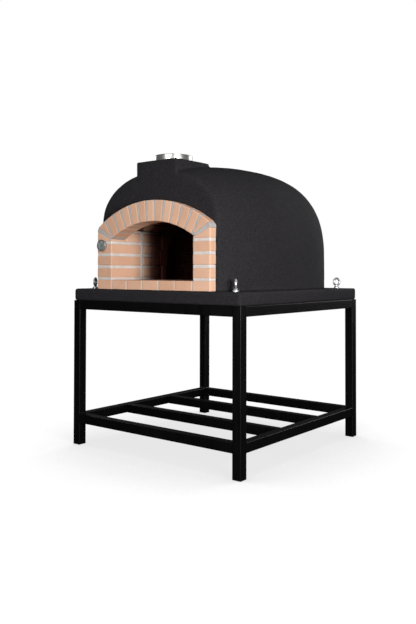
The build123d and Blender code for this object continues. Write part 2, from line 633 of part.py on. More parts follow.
core_box = box(-BLOCK_HALF + RENDER + 0.2, BLOCK_HALF - RENDER - 0.2, Y_FACE + RENDER + 0.2,
               2 * FLUE_Y - Y_FACE - RENDER - 0.2, FUNNEL_Z1 + 2.4, BLOCK_TOP - RENDER - 0.2)
flue_hole = disc_z(0, FLUE_Y, FLUE_R + 0.3, FUNNEL_Z1 - 5, BLOCK_TOP + 50)
with BuildPart() as insulating_fill:
    add(cavity.part)
    add(chamber_form(DOME_T + BLANKET_T + 0.3, HEARTH), mode=Mode.SUBTRACT)
    add(chamber_form(DOME_T + 0.4, SLAB_TOP - 1), mode=Mode.SUBTRACT)
    add(front_outline(0.3, Y_BRICK - 50, Y_ARCH_BACK + 0.6), mode=Mode.SUBTRACT)
    add(box(-HALF_FRONT - 0.3, HALF_FRONT + 0.3, Y_ARCH_BACK - 5, Y_RING_1 + 0.4, SLAB_TOP - 5, SPRING_Z + 0.2),
        mode=Mode.SUBTRACT)
    add(barrel(VAULT_R + VAULT_T + 0.3, HALF_FRONT - 23.7, SPRING_Z - 20, Y_ARCH_BACK + 0.5, Y_RING_1 + 0.4),
        mode=Mode.SUBTRACT)
    add(box(-125.3, 125.3, Y_ARCH_BACK + 0.5, Y_JAMB_BACK + 0.5, 1200, FUNNEL_Z0 + 0.3), mode=Mode.SUBTRACT)
    add(box(-116.3, 116.3, FLUE_Y - 116.3, FLUE_Y + 116.3, PED_Z0 - 0.3, BLOCK_TOP), mode=Mode.SUBTRACT)
    add(box(-HALF_FRONT - 0.3, HALF_FRONT + 0.3, Y_JAMB_BACK, DOME_Y + 0.3, SLAB_TOP - 5, HEARTH + 0.3),
        mode=Mode.SUBTRACT)
    add(core_box)
    add(flue_hole, mode=Mode.SUBTRACT)
insulating_fill.part.label = "insulating_fill"
export_step(insulating_fill.part, "parts/insulating_fill.step")

# ---------------------------------------------------------------- rendered outer shell
dome_solid = oven_dome(0.0)
with BuildPart() as chimney_render:
    add(chimney_block(0.0))
    add(chimney_block(RENDER), mode=Mode.SUBTRACT)
    add(dome_solid, mode=Mode.SUBTRACT)
    add(flue_hole, mode=Mode.SUBTRACT)
chimney_render.part.label = "chimney_render"
export_step(chimney_render.part, "parts/chimney_render.step")

with BuildPart() as render_shell:
    add(dome_solid)
    add(cavity.part, mode=Mode.SUBTRACT)
    add(front_outline(0.5, Y_BRICK - 50, Y_ARCH_BACK + 20), mode=Mode.SUBTRACT)
    add(flue_hole, mode=Mode.SUBTRACT)
render_shell.part.label = "render_shell"
export_step(render_shell.part, "parts/render_shell.step")

# ---------------------------------------------------------------- thermometer
Y_TH = Y_BRICK - 0.4                                     # back of the case
with BuildPart() as thermo_sleeve:
    add(disc_y(TH_X, TH_Z, SLEEVE_R, Y_BRICK, SLEEVE_END))
    add(disc_y(TH_X, TH_Z, SLEEVE_BORE, Y_BRICK - 1, SLEEVE_END - 4), mode=Mode.SUBTRACT)
thermo_sleeve.part.label = "thermo_sleeve"
export_step(thermo_sleeve.part, "parts/thermo_sleeve.step")

with BuildPart() as thermo_case:
    add(disc_y(TH_X, TH_Z, TH_R - 1.5, Y_TH - TH_DEEP + 2, Y_TH))
    add(disc_y(TH_X, TH_Z, TH_R - 3.0, Y_TH - TH_DEEP - 1, Y_TH - 2), mode=Mode.SUBTRACT)
    add(disc_y(TH_X, TH_Z, STEM_R, Y_TH - 3, Y_TH + 1), mode=Mode.SUBTRACT)
thermo_case.part.label = "thermo_case"
export_step(thermo_case.part, "parts/thermo_case.step")

with BuildPart() as thermo_stem:
    add(disc_y(TH_X, TH_Z, STEM_R, Y_TH - 4, Y_TH + STEM_L))
    fillet(thermo_stem.faces().sort_by(Axis.Y)[-1].edges(), 2.0)
    add(disc_y(TH_X, TH_Z, 1.15, Y_TH - 5, Y_TH), mode=Mode.SUBTRACT)
thermo_stem.part.label = "thermo_stem"
export_step(thermo_stem.part, "parts/thermo_stem.step")

with BuildPart() as thermo_dial:
    add(disc_y(TH_X, TH_Z, TH_R - 3.1, Y_TH - TH_DEEP + 7, Y_TH - TH_DEEP + 8))
    add(disc_y(TH_X, TH_Z, 1.6, Y_TH - TH_DEEP, Y_TH), mode=Mode.SUBTRACT)
thermo_dial.part.label = "thermo_dial"
export_step(thermo_dial.part, "parts/thermo_dial.step")

POINT_L, REST_DEG = 23.0, 135.0                          # pointer rests low on the left
with BuildPart() as thermo_pointer:
    yp = Y_TH - TH_DEEP + 5.4
    add(disc_y(TH_X, TH_Z, 3.0, yp - 0.8, yp + 0.8))
    add(disc_y(TH_X, TH_Z, 1.1, yp, Y_TH - 1.0))
    ca, sa = math.cos(math.radians(90 + REST_DEG)), math.sin(math.radians(90 + REST_DEG))
    tip = (TH_X + POINT_L * ca, TH_Z + POINT_L * sa)
    tail = (TH_X - 9 * ca, TH_Z - 9 * sa)
    wide = 1.5
    add(prism_y([(tip[0], tip[1]), (TH_X - wide * sa, TH_Z + wide * ca), tail,
                 (TH_X + wide * sa, TH_Z - wide * ca)], yp - 0.5, yp + 0.5))
thermo_pointer.part.label = "thermo_pointer"
export_step(thermo_pointer.part, "parts/thermo_pointer.step")

with BuildPart() as thermo_glass:
    add(disc_y(TH_X, TH_Z, TH_R - 3.1, Y_TH - TH_DEEP + 1.6, Y_TH - TH_DEEP + 3.6))
thermo_glass.part.label = "thermo_glass"
export_step(thermo_glass.part, "parts/thermo_glass.step")

with BuildPart() as thermo_bezel:
    add(disc_y(TH_X, TH_Z, TH_R, Y_TH - TH_DEEP, Y_TH - TH_DEEP + 6))
    fillet(thermo_bezel.faces().sort_by(Axis.Y)[0].edges(), 2.0)
    add(disc_y(TH_X, TH_Z, TH_R - 1.45, Y_TH - TH_DEEP + 1.6, Y_TH), mode=Mode.SUBTRACT)
    add(disc_y(TH_X, TH_Z, TH_R - 6.0, Y_TH - TH_DEEP - 1, Y_TH), mode=Mode.SUBTRACT)
thermo_bezel.part.label = "thermo_bezel"
export_step(thermo_bezel.part, "parts/thermo_bezel.step")
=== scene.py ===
"""Looks of the wood fired oven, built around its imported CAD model. Metres, row frame, +Z up."""

import math
import random

import bmesh
import bpy
import numpy as np
from mathutils import Matrix, Vector, noise

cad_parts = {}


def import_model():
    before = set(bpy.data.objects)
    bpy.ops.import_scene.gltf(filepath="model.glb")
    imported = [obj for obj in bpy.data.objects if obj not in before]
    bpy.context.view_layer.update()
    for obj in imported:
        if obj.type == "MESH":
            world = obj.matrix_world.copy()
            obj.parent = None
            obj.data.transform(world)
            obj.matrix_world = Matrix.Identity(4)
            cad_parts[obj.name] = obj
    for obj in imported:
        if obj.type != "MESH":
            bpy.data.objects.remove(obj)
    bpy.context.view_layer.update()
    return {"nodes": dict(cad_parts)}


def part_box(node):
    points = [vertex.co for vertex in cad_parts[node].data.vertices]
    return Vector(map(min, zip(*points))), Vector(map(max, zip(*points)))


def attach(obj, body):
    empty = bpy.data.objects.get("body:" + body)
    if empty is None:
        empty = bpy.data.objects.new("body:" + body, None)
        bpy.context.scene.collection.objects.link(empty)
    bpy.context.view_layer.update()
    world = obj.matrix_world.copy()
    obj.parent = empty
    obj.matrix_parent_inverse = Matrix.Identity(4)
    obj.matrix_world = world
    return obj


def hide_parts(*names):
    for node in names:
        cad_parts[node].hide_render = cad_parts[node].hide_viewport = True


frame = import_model()
NODES = frame["nodes"]
random.seed(7)


# ------------------------------------------------------------------ node helpers
class Mat:
    """A small wrapper that makes a Principled material's node tree short to write."""

    def __init__(self, name):
        self.mat = bpy.data.materials.new(name)
        self.mat.use_nodes = True
        self.tree = self.mat.node_tree
        self.shader = self.tree.nodes["Principled BSDF"]
        self.coord = self.tree.nodes.new("ShaderNodeTexCoord").outputs["Object"]

    def feed(self, sock, value):
        """Links a socket to another one, or sets its constant."""
        if isinstance(value, bpy.types.NodeSocket):
            self.tree.links.new(value, sock)
        elif sock.type == "RGBA":
            sock.default_value = (*value, 1)
        else:
            sock.default_value = value

    def node(self, kind, operation=None, **inputs):
        """A shader node, with its inputs given by name."""
        n = self.tree.nodes.new("ShaderNode" + kind)
        if operation:
            n.operation = operation
        for key, value in inputs.items():
            self.feed(n.inputs[key], value)
        return n

    def stretch(self, scale):
        return self.node("Mapping", Vector=self.coord, Scale=scale).outputs[0]

    def noise(self, scale, detail=4.0, rough=0.55, vec=None, distortion=0.0):
        n = self.node("TexNoise", Vector=vec or self.coord, Scale=scale, Detail=detail, Roughness=rough,
                      Distortion=distortion)
        return n.outputs["Fac"]

    def cells(self, scale):
        return self.node("TexVoronoi", Vector=self.coord, Scale=scale).outputs["Distance"]

    def ramp(self, fac, *stops):
        """Colour ramp of (position, colour or grey level) stops."""
        n = self.tree.nodes.new("ShaderNodeValToRGB")
        self.tree.links.new(fac, n.inputs[0])
        els = n.color_ramp.elements
        while len(els) < len(stops):
            els.new(0.5)
        for el, (pos, value) in zip(els, stops):
            el.position = pos
            el.color = (value, value, value, 1) if isinstance(value, (int, float)) else (*value, 1)
        return n.outputs[0]

    def math(self, op, a, b, clamp=False):
        n = self.tree.nodes.new("ShaderNodeMath")
        n.operation, n.use_clamp = op, clamp
        self.feed(n.inputs[0], a)
        self.feed(n.inputs[1], b)
        return n.outputs[0]

    def mix(self, fac, a, b):
        n = self.tree.nodes.new("ShaderNodeMix")
        n.data_type = "RGBA"
        for index, value in ((0, fac), (6, a), (7, b)):
            self.feed(n.inputs[index], value)
        return n.outputs[2]

    def attribute(self, name):
        n = self.tree.nodes.new("ShaderNodeAttribute")
        n.attribute_name = name
        return n.outputs["Fac"]

    def height(self, axis="Z"):
        return self.node("SeparateXYZ", Vector=self.coord).outputs[axis]

    def between(self, value, low, high):
        """0 at low, 1 at high."""
        n = self.tree.nodes.new("ShaderNodeMapRange")
        self.tree.links.new(value, n.inputs[0])
        n.inputs[1].default_value, n.inputs[2].default_value = low, high
        return n.outputs[0]

    def edges(self, low, high):
        """Mask from pointiness: 1 on convex edges, 0 in creases; used to paint highlights on edges."""
        geo = self.tree.nodes.new("ShaderNodeNewGeometry")
        return self.between(geo.outputs["Pointiness"], low, high)

    def bump(self, height, strength, distance, below=None):
        n = self.node("Bump", Height=height, Strength=strength, Distance=distance)
        if below is not None:
            self.feed(n.inputs["Normal"], below)
        return n.outputs[0]

    def out(self, color, rough, normal=None, **constants):
        """Wires the shader up; constants have spaces as underscores."""
        for key, value in (("Base Color", color), ("Roughness", rough), ("Normal", normal)):
            if value is not None:
                self.feed(self.shader.inputs[key], value)
        for key, value in constants.items():
            self.shader.inputs[key.replace("_", " ")].default_value = value
        return self.mat


# ------------------------------------------------------------------ places on the part
# The brick front's face, half width and outline: jambs straight up, a corner arc, then the big arc.
Y_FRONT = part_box("sill_bricks")[0].y
SLAB_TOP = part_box("base_slab")[1].z
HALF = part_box("sill_bricks")[1].x
ARC_R, CORNER_R, ARC_CLEAR = 0.652, 0.035, 0.0005
ARC_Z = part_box("voussoir_07")[1].z + ARC_CLEAR - ARC_R
# Joints thinner than THIN_JOINT and below the spring are bed joints.
ARCH_SPRING_Z, THIN_JOINT = 1.16, 0.020
DUST_HEIGHT = 0.03
# Where the darkening starts and where it covers everything, from the mouth inwards: real soot plus painted
# shade of the unlit oven inside.
SOOT_AND_SHADE = (Y_FRONT + 0.175, Y_FRONT + 0.36)
DOME_SOOT_AND_SHADE = (Y_FRONT, Y_FRONT + 0.35)
HOOD_SOOT_AND_SHADE = (Y_FRONT + 0.02, Y_FRONT + 0.34)


# ------------------------------------------------------------------ materials
def charcoal_render(name, dust_z=None):
    """Fine-grain charcoal plaster: sandy lumps, faint trowel clouds, paler rubbed high spots."""
    m = Mat(name)
    lumps = m.noise(125.0, 3.0, 0.6)
    grain = m.noise(330.0, 5.0, 0.65)
    cloud = m.noise(3.2, 5.0, 0.6, distortion=0.6)
    trowel = m.noise(9.0, 3.0, 0.5, vec=m.stretch((1.0, 1.0, 2.6)))
    base = m.ramp(cloud, (0.3, (0.0105, 0.0098, 0.0112)), (0.7, (0.0155, 0.0143, 0.0162)))
    color = m.mix(m.ramp(lumps, (0.40, 0.0), (0.66, 0.75)), base, (0.029, 0.0265, 0.0305))
    color = m.mix(m.ramp(grain, (0.52, 0.0), (0.70, 0.65)), color, (0.055, 0.051, 0.057))
    # Painted shade: small dark spots stand in for the shadow inside tiny pits, which the surface does not
    # have.
    pit_shade = m.ramp(m.noise(230.0, 3.0, 0.5), (0.30, 0.8), (0.43, 0.0))
    color = m.mix(pit_shade, color, (0.0028, 0.0025, 0.0028))
    if dust_z is not None:
        low = m.between(m.height(), dust_z + DUST_HEIGHT, dust_z)
        patches = m.ramp(m.noise(30.0, 4.0, 0.7), (0.40, 0.0), (0.75, 0.30))
        dust = m.math("MULTIPLY", low, patches, clamp=True)
        color = m.mix(dust, color, (0.06, 0.057, 0.055))
    rough = m.ramp(lumps, (0.3, 0.74), (0.75, 0.94))
    n1 = m.bump(trowel, 0.25, 0.004)
    n2 = m.bump(lumps, 0.75, 0.0022, n1)
    n3 = m.bump(grain, 0.75, 0.0010, n2)
    return m.out(color, rough, n3, Specular_IOR_Level=0.16)


def brick(name, light, dark, soot_and_shade=None):
    """Smooth dry-pressed brick: each brick has its own tint; fine sand, flashes of heat, dark specks, and
    painted highlights on convex edges.
    """
    m = Mat(name)
    own = m.attribute("tint")
    cloud = m.noise(14.0, 4.0, 0.6)
    fac = m.math("ADD", m.math("MULTIPLY", own, 0.62), m.math("MULTIPLY", cloud, 0.38))
    color = m.ramp(fac, (0.18, dark), (0.5, tuple((a + b) / 2 for a, b in zip(light, dark))), (0.8, light))
    fine = m.noise(900.0, 3.0, 0.6)
    color = m.mix(m.math("MULTIPLY", m.ramp(fine, (0.42, 0.0), (0.7, 1.0)), 0.35), color,
                  tuple(min(1.0, c * 1.16) for c in light))
    specks = m.ramp(m.cells(330.0), (0.05, 1.0), (0.12, 0.0))
    keep = m.ramp(m.noise(160.0, 2.0, 0.5), (0.56, 0.0), (0.62, 1.0))
    color = m.mix(m.math("MULTIPLY", m.math("MULTIPLY", specks, keep), 0.6), color,
                  tuple(c * 0.45 for c in dark))
    # Painted highlight: convex edges are made paler, as if they caught the light.
    edge_highlight_tone = tuple(min(1.0, c * 1.22) for c in light)
    color = m.mix(m.math("MULTIPLY", m.edges(0.52, 0.66), 0.35), color, edge_highlight_tone)
    # Darker deeper into the mouth: real soot plus painted shade of the unlit oven inside.
    if soot_and_shade is not None:
        front, back = soot_and_shade
        deep = m.between(m.height("Y"), front, back)
        patchy = m.math("MULTIPLY", m.math("SUBTRACT", m.noise(7.0, 4.0, 0.6), 0.5), 0.35)
        ragged = m.math("ADD", deep, patchy, clamp=True)
        cover = m.ramp(ragged, (0.0, 0.0), (0.3, 0.08), (0.5, 0.32), (0.78, 0.90), (1.0, 0.98))
        color = m.mix(cover, color, (0.055, 0.009, 0.004))
    rough = m.ramp(m.noise(60.0, 3.0, 0.5), (0.3, 0.72), (0.7, 0.9))
    n1 = m.bump(m.noise(70.0, 4.0, 0.55), 0.35, 0.0012)
    n2 = m.bump(fine, 0.45, 0.0004, n1)
    return m.out(color, rough, n2, Specular_IOR_Level=0.3)


def mortar(name, pale, deep, soot_and_shade=None):
    """Struck mortar: sandy, slightly open, paler where it dried first."""
    m = Mat(name)
    color = m.ramp(m.noise(22.0, 5.0, 0.65), (0.3, deep), (0.7, pale))
    sand = m.noise(700.0, 4.0, 0.7)
    grains = m.math("MULTIPLY", m.ramp(sand, (0.5, 0.0), (0.75, 1.0)), 0.4)
    color = m.mix(grains, color, tuple(c * 0.6 for c in deep))
    # Darker deeper into the mouth: real soot plus painted shade of the unlit oven inside.
    if soot_and_shade is not None:
        front, back = soot_and_shade
        deepness = m.between(m.height("Y"), front, back)
        cover = m.ramp(deepness, (0.0, 0.0), (0.3, 0.08), (0.5, 0.36), (0.78, 0.90), (1.0, 0.98))
        color = m.mix(cover, color, (0.055, 0.010, 0.005))
    n1 = m.bump(m.noise(120.0, 4.0, 0.6), 0.6, 0.0014)
    n2 = m.bump(sand, 0.6, 0.0006, n1)
    return m.out(color, 0.92, n2, Specular_IOR_Level=0.2)


def cast_with_soot_and_shade(name, color_a, color_b, soot_and_shade):
    """Cast refractory, darker towards the fire: real soot plus painted shade of the unlit oven inside."""
    m = Mat(name)
    color = m.ramp(m.noise(11.0, 5.0, 0.6), (0.3, color_b), (0.7, color_a))
    # Darker deeper into the mouth: real soot plus painted shade of the unlit oven inside.
    front, back = soot_and_shade
    deep = m.between(m.height("Y"), front, back)
    patchy = m.math("MULTIPLY", m.math("SUBTRACT", m.noise(8.0, 4.0, 0.6), 0.5), 0.4)
    ragged = m.math("ADD", deep, patchy, clamp=True)
    color = m.mix(m.ramp(ragged, (0.0, 0.25), (0.5, 0.75), (1.0, 0.97)), color, (0.060, 0.010, 0.004))
    n1 = m.bump(m.noise(90.0, 5.0, 0.6), 0.5, 0.0015)
    n2 = m.bump(m.noise(800.0, 3.0, 0.6), 0.4, 0.0005, n1)
    return m.out(color, m.ramp(m.noise(40.0), (0.3, 0.75), (0.7, 0.93)), n2, Specular_IOR_Level=0.25)


def painted_steel(name):
    """Sprayed black enamel: faint orange peel, a thin dusty film, a few rubbed spots."""
    m = Mat(name)
    film = m.noise(6.0, 5.0, 0.65)
    color = m.ramp(film, (0.3, (0.0010, 0.0010, 0.0013)), (0.7, (0.0022, 0.0022, 0.0027)))
    motes = m.ramp(m.noise(420.0, 2.0, 0.5), (0.67, 0.0), (0.76, 0.35))
    color = m.mix(motes, color, (0.022, 0.022, 0.022))
    rubbed = m.math("MULTIPLY", m.ramp(m.noise(13.0, 5.0, 0.75), (0.60, 0.0), (0.72, 0.5)),
                    m.ramp(m.noise(170.0, 3.0, 0.6), (0.5, 0.0), (0.65, 1.0)))
    color = m.mix(rubbed, color, (0.008, 0.008, 0.009))
    streak = m.noise(1.0, 4.0, 0.6, vec=m.stretch((90.0, 90.0, 5.0)))
    rough = m.ramp(streak, (0.3, 0.30), (0.7, 0.44))
    n1 = m.bump(m.noise(85.0, 3.0, 0.5), 0.22, 0.0010)
    n2 = m.bump(m.noise(420.0, 2.0, 0.5), 0.10, 0.0004, n1)
    return m.out(color, rough, n2, Specular_IOR_Level=0.20)


def zinc(name):
    """Bright zinc plate on forged steel: pale blue-grey, satin, faint spangle, a little yellow bloom."""
    m = Mat(name)
    color = m.ramp(m.noise(120.0, 4.0, 0.6), (0.3, (0.58, 0.61, 0.65)), (0.7, (0.78, 0.80, 0.83)))
    color = m.mix(m.ramp(m.noise(55.0, 4.0, 0.7), (0.62, 0.0), (0.78, 0.3)), color, (0.80, 0.77, 0.66))
    rough = m.ramp(m.noise(260.0, 3.0, 0.5), (0.3, 0.30), (0.7, 0.46))
    return m.out(color, rough, m.bump(m.noise(300.0, 3.0, 0.6), 0.25, 0.0004), Metallic=0.85)


def stainless(name, around="Z", tone=(0.70, 0.69, 0.67)):
    """Rolled stainless: fine brush lines round the part, heat tint kept faint."""
    m = Mat(name)
    scale = {"Z": (6.0, 6.0, 1500.0), "Y": (160.0, 4.0, 160.0)}[around]
    lines = m.noise(1.0, 3.0, 0.5, vec=m.stretch(scale))
    color = m.ramp(lines, (0.35, tuple(c * 0.93 for c in tone)), (0.65, tone))
    smear = m.ramp(m.noise(16.0, 4.0, 0.6), (0.55, 0.0), (0.8, 0.2))
    color = m.mix(smear, color, tuple(c * 0.75 for c in tone))
    rough = m.ramp(lines, (0.3, 0.27), (0.7, 0.34))
    return m.out(color, rough, m.bump(lines, 0.05, 0.0002), Metallic=0.9)


def plain(name, color, rough, scale=200.0, depth=0.0004, metallic=0.0, spread=0.15):
    """A quiet material for small or hidden pieces, with its own grain and bump."""
    m = Mat(name)
    tone = m.ramp(m.noise(scale, 4.0, 0.6), (0.3, tuple(c * (1 - spread) for c in color)),
                  (0.7, tuple(min(1.0, c * (1 + spread)) for c in color)))
    r = m.ramp(m.noise(scale * 0.6, 3.0, 0.5), (0.3, max(0.05, rough - 0.07)), (0.7, min(1.0, rough + 0.07)))
    return m.out(tone, r, m.bump(m.noise(scale * 2, 3.0, 0.6), 0.4, depth), Metallic=metallic)


def glass_material():
    """Flat gauge glass, barely smeared."""
    m = Mat("glass_flat")
    smear = m.ramp(m.noise(60.0, 4.0, 0.6), (0.4, 0.03), (0.8, 0.09))
    return m.out((0.93, 0.96, 0.95), smear, None, Transmission_Weight=1.0, IOR=1.45)


MATS = {
    "render": charcoal_render("render_charcoal", SLAB_TOP),
    "slab": charcoal_render("slab_charcoal"),
    "face_brick": brick("brick_face", (0.80, 0.500, 0.345), (0.60, 0.335, 0.215), SOOT_AND_SHADE),
    "arch_joint": mortar("mortar_arch", (0.53, 0.500, 0.485), (0.42, 0.390, 0.375), SOOT_AND_SHADE),
    "bed_joint": mortar("mortar_bed", (0.77, 0.700, 0.65), (0.64, 0.575, 0.525), SOOT_AND_SHADE),
    "mouth_brick": brick("brick_mouth", (0.74, 0.47, 0.33), (0.52, 0.30, 0.19), SOOT_AND_SHADE),
    "tile": brick("hearth_tile", (0.56, 0.43, 0.32), (0.42, 0.31, 0.23), SOOT_AND_SHADE),
    "dome_brick": brick("brick_dome", (0.30, 0.19, 0.13), (0.20, 0.12, 0.08), DOME_SOOT_AND_SHADE),
    "hood": cast_with_soot_and_shade("cast_hood", (0.34, 0.22, 0.15), (0.24, 0.15, 0.10), HOOD_SOOT_AND_SHADE),
    "steel": painted_steel("paint_black"),
    "zinc": zinc("zinc_plate"),
    "stainless": stainless("stainless_flue"),
    "bezel": stainless("stainless_bezel", "Y", (0.50, 0.51, 0.52)),
    "plastic": plain("plastic_black", (0.02, 0.02, 0.02), 0.5, 300.0),
    "board": plain("board_calcium", (0.62, 0.60, 0.56), 0.95, 150.0, 0.0008),
    "fibre": plain("fibre_blanket", (0.82, 0.81, 0.78), 0.98, 240.0, 0.002),
    "fill": plain("fill_vermiculite", (0.42, 0.38, 0.31), 0.95, 130.0, 0.003, spread=0.3),
    "brass": plain("brass_sleeve", (0.62, 0.46, 0.18), 0.35, 400.0, 0.0002, 1.0),
    "dial": plain("dial_white", (0.66, 0.68, 0.70), 0.4, 900.0, 0.0001, spread=0.04),
    "ink": plain("dial_ink", (0.02, 0.02, 0.022), 0.5, 900.0, 0.0001),
    "weld": plain("weld_paint", (0.006, 0.006, 0.007), 0.30, 500.0, 0.0004),
    "glass": glass_material(),
}


def paint(obj, name):
    """Gives a piece one material of the table."""
    obj.data.materials.clear()
    obj.data.materials.append(MATS[name])


# ------------------------------------------------------------------ mesh helpers
def link(name, mesh, body, mat, smooth=True, stands_for=()):
    """Puts a mesh in the scene as a piece on a CAD body, in place of the CAD nodes it stands for."""
    obj = bpy.data.objects.new(name, mesh)
    bpy.context.scene.collection.objects.link(obj)
    if smooth:
        mesh.polygons.foreach_set("use_smooth", [True] * len(mesh.polygons))
    paint(obj, mat)
    if stands_for:
        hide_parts(*stands_for)
    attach(obj, body)
    return obj


def solids_of(node):
    """Points and faces of each separate solid of a CAD node."""
    bm = bmesh.new()
    bm.from_mesh(NODES[node].data)
    bmesh.ops.remove_doubles(bm, verts=bm.verts, dist=1e-6)
    bm.verts.ensure_lookup_table()
    seen, parts = set(), []
    for v in bm.verts:
        if v.index in seen:
            continue
        stack, group = [v], []
        seen.add(v.index)
        while stack:
            a = stack.pop()
            group.append(a)
            for e in a.link_edges:
                b = e.other_vert(a)
                if b.index not in seen:
                    seen.add(b.index)
                    stack.append(b)
        index = {a: i for i, a in enumerate(group)}
        faces = dict.fromkeys(f for a in group for f in a.link_faces)
        parts.append(([a.co.copy() for a in group], [[index[c] for c in f.verts] for f in faces]))
    bm.free()
    return parts


def corners_of(verts):
    """Lowest and highest corner of a list of points."""
    points = np.array([tuple(v) for v in verts])
    return points.min(0), points.max(0)


def move_points(mesh, co):
    mesh.vertices.foreach_set("co", co.ravel())
    mesh.update()


def normals_of(mesh):
    nor = np.empty(len(mesh.vertices) * 3)
    mesh.vertices.foreach_get("normal", nor)
    return nor.reshape(-1, 3)


def faces_of(mesh):
    return [tuple(p.vertices) for p in mesh.polygons]


def remeshed(verts, faces, voxel):
    """The solid as an even voxel mesh."""
    mesh = bpy.data.meshes.new("tmp")
    mesh.from_pydata([tuple(v) for v in verts], [], faces)
    obj = bpy.data.objects.new("tmp", mesh)
    bpy.context.scene.collection.objects.link(obj)
    mod = obj.modifiers.new("r", "REMESH")
    mod.mode, mod.voxel_size, mod.adaptivity = "VOXEL", voxel, 0.0
    dg = bpy.context.evaluated_depsgraph_get()
    out = bpy.data.meshes.new_from_object(obj.evaluated_get(dg))
    bpy.data.objects.remove(obj)
    bpy.data.meshes.remove(mesh)
    return out


def relax(mesh, times):
    """Points of the mesh, each moved halfway to its neighbours' mean, which rounds the edges."""
    n = len(mesh.vertices)
    co = np.empty(n * 3)
    mesh.vertices.foreach_get("co", co)
    co = co.reshape(-1, 3)
    ed = np.empty(len(mesh.edges) * 2, int)
    mesh.edges.foreach_get("vertices", ed)
    ed = ed.reshape(-1, 2)
    deg = np.bincount(ed.ravel(), minlength=n)[:, None]
    for _ in range(times):
        total = np.zeros_like(co)
        np.add.at(total, ed[:, 0], co[ed[:, 1]])
        np.add.at(total, ed[:, 1], co[ed[:, 0]])
        co += 0.5 * (total / deg - co)
    return co


def roughen(co, normals, seed, amp_low, amp_high):
    """Moves points inwards along their normals by two sizes of noise."""
    lumps, grain = 28.0, 160.0
    shift = Vector((seed * 3.71, seed * 1.37, seed * 2.11))
    for i in range(len(co)):
        p = Vector(co[i])
        d = amp_low * noise.noise(p * lumps + shift) + amp_high * noise.noise(p * grain + shift)
        d -= amp_low + amp_high * 0.6
        co[i] += normals[i] * d
    return co


def join_meshes(name, parts):
    """One mesh from (points, faces, tint) lists, with the tint kept as a point attribute."""
    allv, allf, tints, base = [], [], [], 0
    for co, faces, tint in parts:
        allv.append(co)
        allf.extend([[base + i for i in f] for f in faces])
        tints.append(np.full(len(co), tint))
        base += len(co)
    mesh = bpy.data.meshes.new(name)
    mesh.from_pydata(np.concatenate(allv).tolist(), [], allf)
    mesh.update()
    att = mesh.attributes.new("tint", "FLOAT", "POINT")
    att.data.foreach_set("value", np.concatenate(tints))
    return mesh


def spread(mesh, co, lo, hi, amount):
    """Widens a joint sideways into the bricks beside it; its faces stay where they are."""
    nor = normals_of(mesh)
    out = np.clip(co, lo, hi)
    size = hi - lo
    thin = int(np.argmin(size))
    in_arch = lo[2] > ARCH_SPRING_Z and abs(lo[0] + hi[0]) > 0
    if size[thin] < THIN_JOINT and not in_arch:
        sideways = np.abs(nor[:, thin]) > 0.3
        out[:, thin] = co[:, thin] + np.sign(nor[:, thin]) * sideways * amount
        return out
    r = np.hypot(co[:, 0], co[:, 2] - ARC_Z)
    tx, tz = (co[:, 2] - ARC_Z) / r, -co[:, 0] / r
    along = nor[:, 0] * tx + nor[:, 2] * tz
    along = np.where(np.abs(along) > 0.5, np.sign(along), 0.0) * amount
    out[:, 0] += tx * along
    out[:, 2] += tz * along
    return out


def brick_pieces(node, mat, voxel, low=0.0005, high=0.00025, rounds=3, widen=0.0):
    """Replaces a CAD node of bricks or joints by ones with soft, slightly uneven edges and faces."""
    darkest, range_of_tint = 0.22, 0.60
    parts = []
    for verts, faces in solids_of(node):
        mesh = remeshed(verts, faces, voxel)
        co = relax(mesh, rounds)
        move_points(mesh, co)
        co = roughen(co, normals_of(mesh), random.random() * 50, low, high)
        lo, hi = corners_of(verts)
        co = spread(mesh, co, lo, hi, widen) if widen else np.clip(co, lo, hi)
        tint = darkest + range_of_tint * random.random()
        parts.append((co, faces_of(mesh), tint))
        bpy.data.meshes.remove(mesh)
    mesh = join_meshes(node + "_look", parts)
    return link(node + "_look", mesh, "oven", mat, True, (node,))


# ------------------------------------------------------------------ bricks and mortar
for i in range(1, 14):
    brick_pieces(f"voussoir_{i:02d}", "face_brick", 0.0027)
for side in ("left", "right"):
    brick_pieces(f"jamb_{side}", "face_brick", 0.0032)
brick_pieces("sill_bricks", "face_brick", 0.0032)
brick_pieces("mouth_bricks", "mouth_brick", 0.005)
brick_pieces("hearth_tiles", "tile", 0.006)
for joint, voxel in (("arch", 0.0018), ("bed", 0.0026)):
    brick_pieces(f"{joint}_mortar", f"{joint}_joint", voxel, 0.0001, 0.0003, 1, 0.0016)


# ------------------------------------------------------------------ rendered skin and slab
def outline_distance(x, z):
    """Distance to the brick front's outline, negative inside it."""
    ax = np.abs(x)
    xc = HALF - CORNER_R
    zc = ARC_Z + math.sqrt((ARC_R - CORNER_R) ** 2 - xc ** 2)
    arc = np.hypot(x, z - ARC_Z) - ARC_R
    side = ax - HALF
    corner = np.hypot(ax - xc, z - zc) - CORNER_R
    in_corner = ((ax - xc) * (zc - ARC_Z) - (z - zc) * xc > 0) & (z > zc)
    return np.where(in_corner, corner, np.where(z <= zc, side, arc))


def hug_bricks(co):
    """Draws the plaster in against the brick front's outline, close to the front face."""
    reach, depth, pull, step = 0.014, 0.11, 0.010, 1e-4
    x, z = co[:, 0].copy(), co[:, 2].copy()
    near = outline_distance(x, z)
    share = np.clip(1 - np.abs(near) / reach, 0, 1) * (co[:, 1] < Y_FRONT + depth)
    co[:, 0] -= (outline_distance(x + step, z) - near) / step * share * pull
    co[:, 2] -= (outline_distance(x, z + step) - near) / step * share * pull


def sink_foot(co, bottom):
    """Lets the rounded bottom edge run down into the slab, so no gap shows under it."""
    band, rise, sink = 0.010, 0.003, 0.004
    foot = co[:, 2] < bottom + band
    co[foot, 2] = np.minimum(co[foot, 2], bottom + rise) - sink


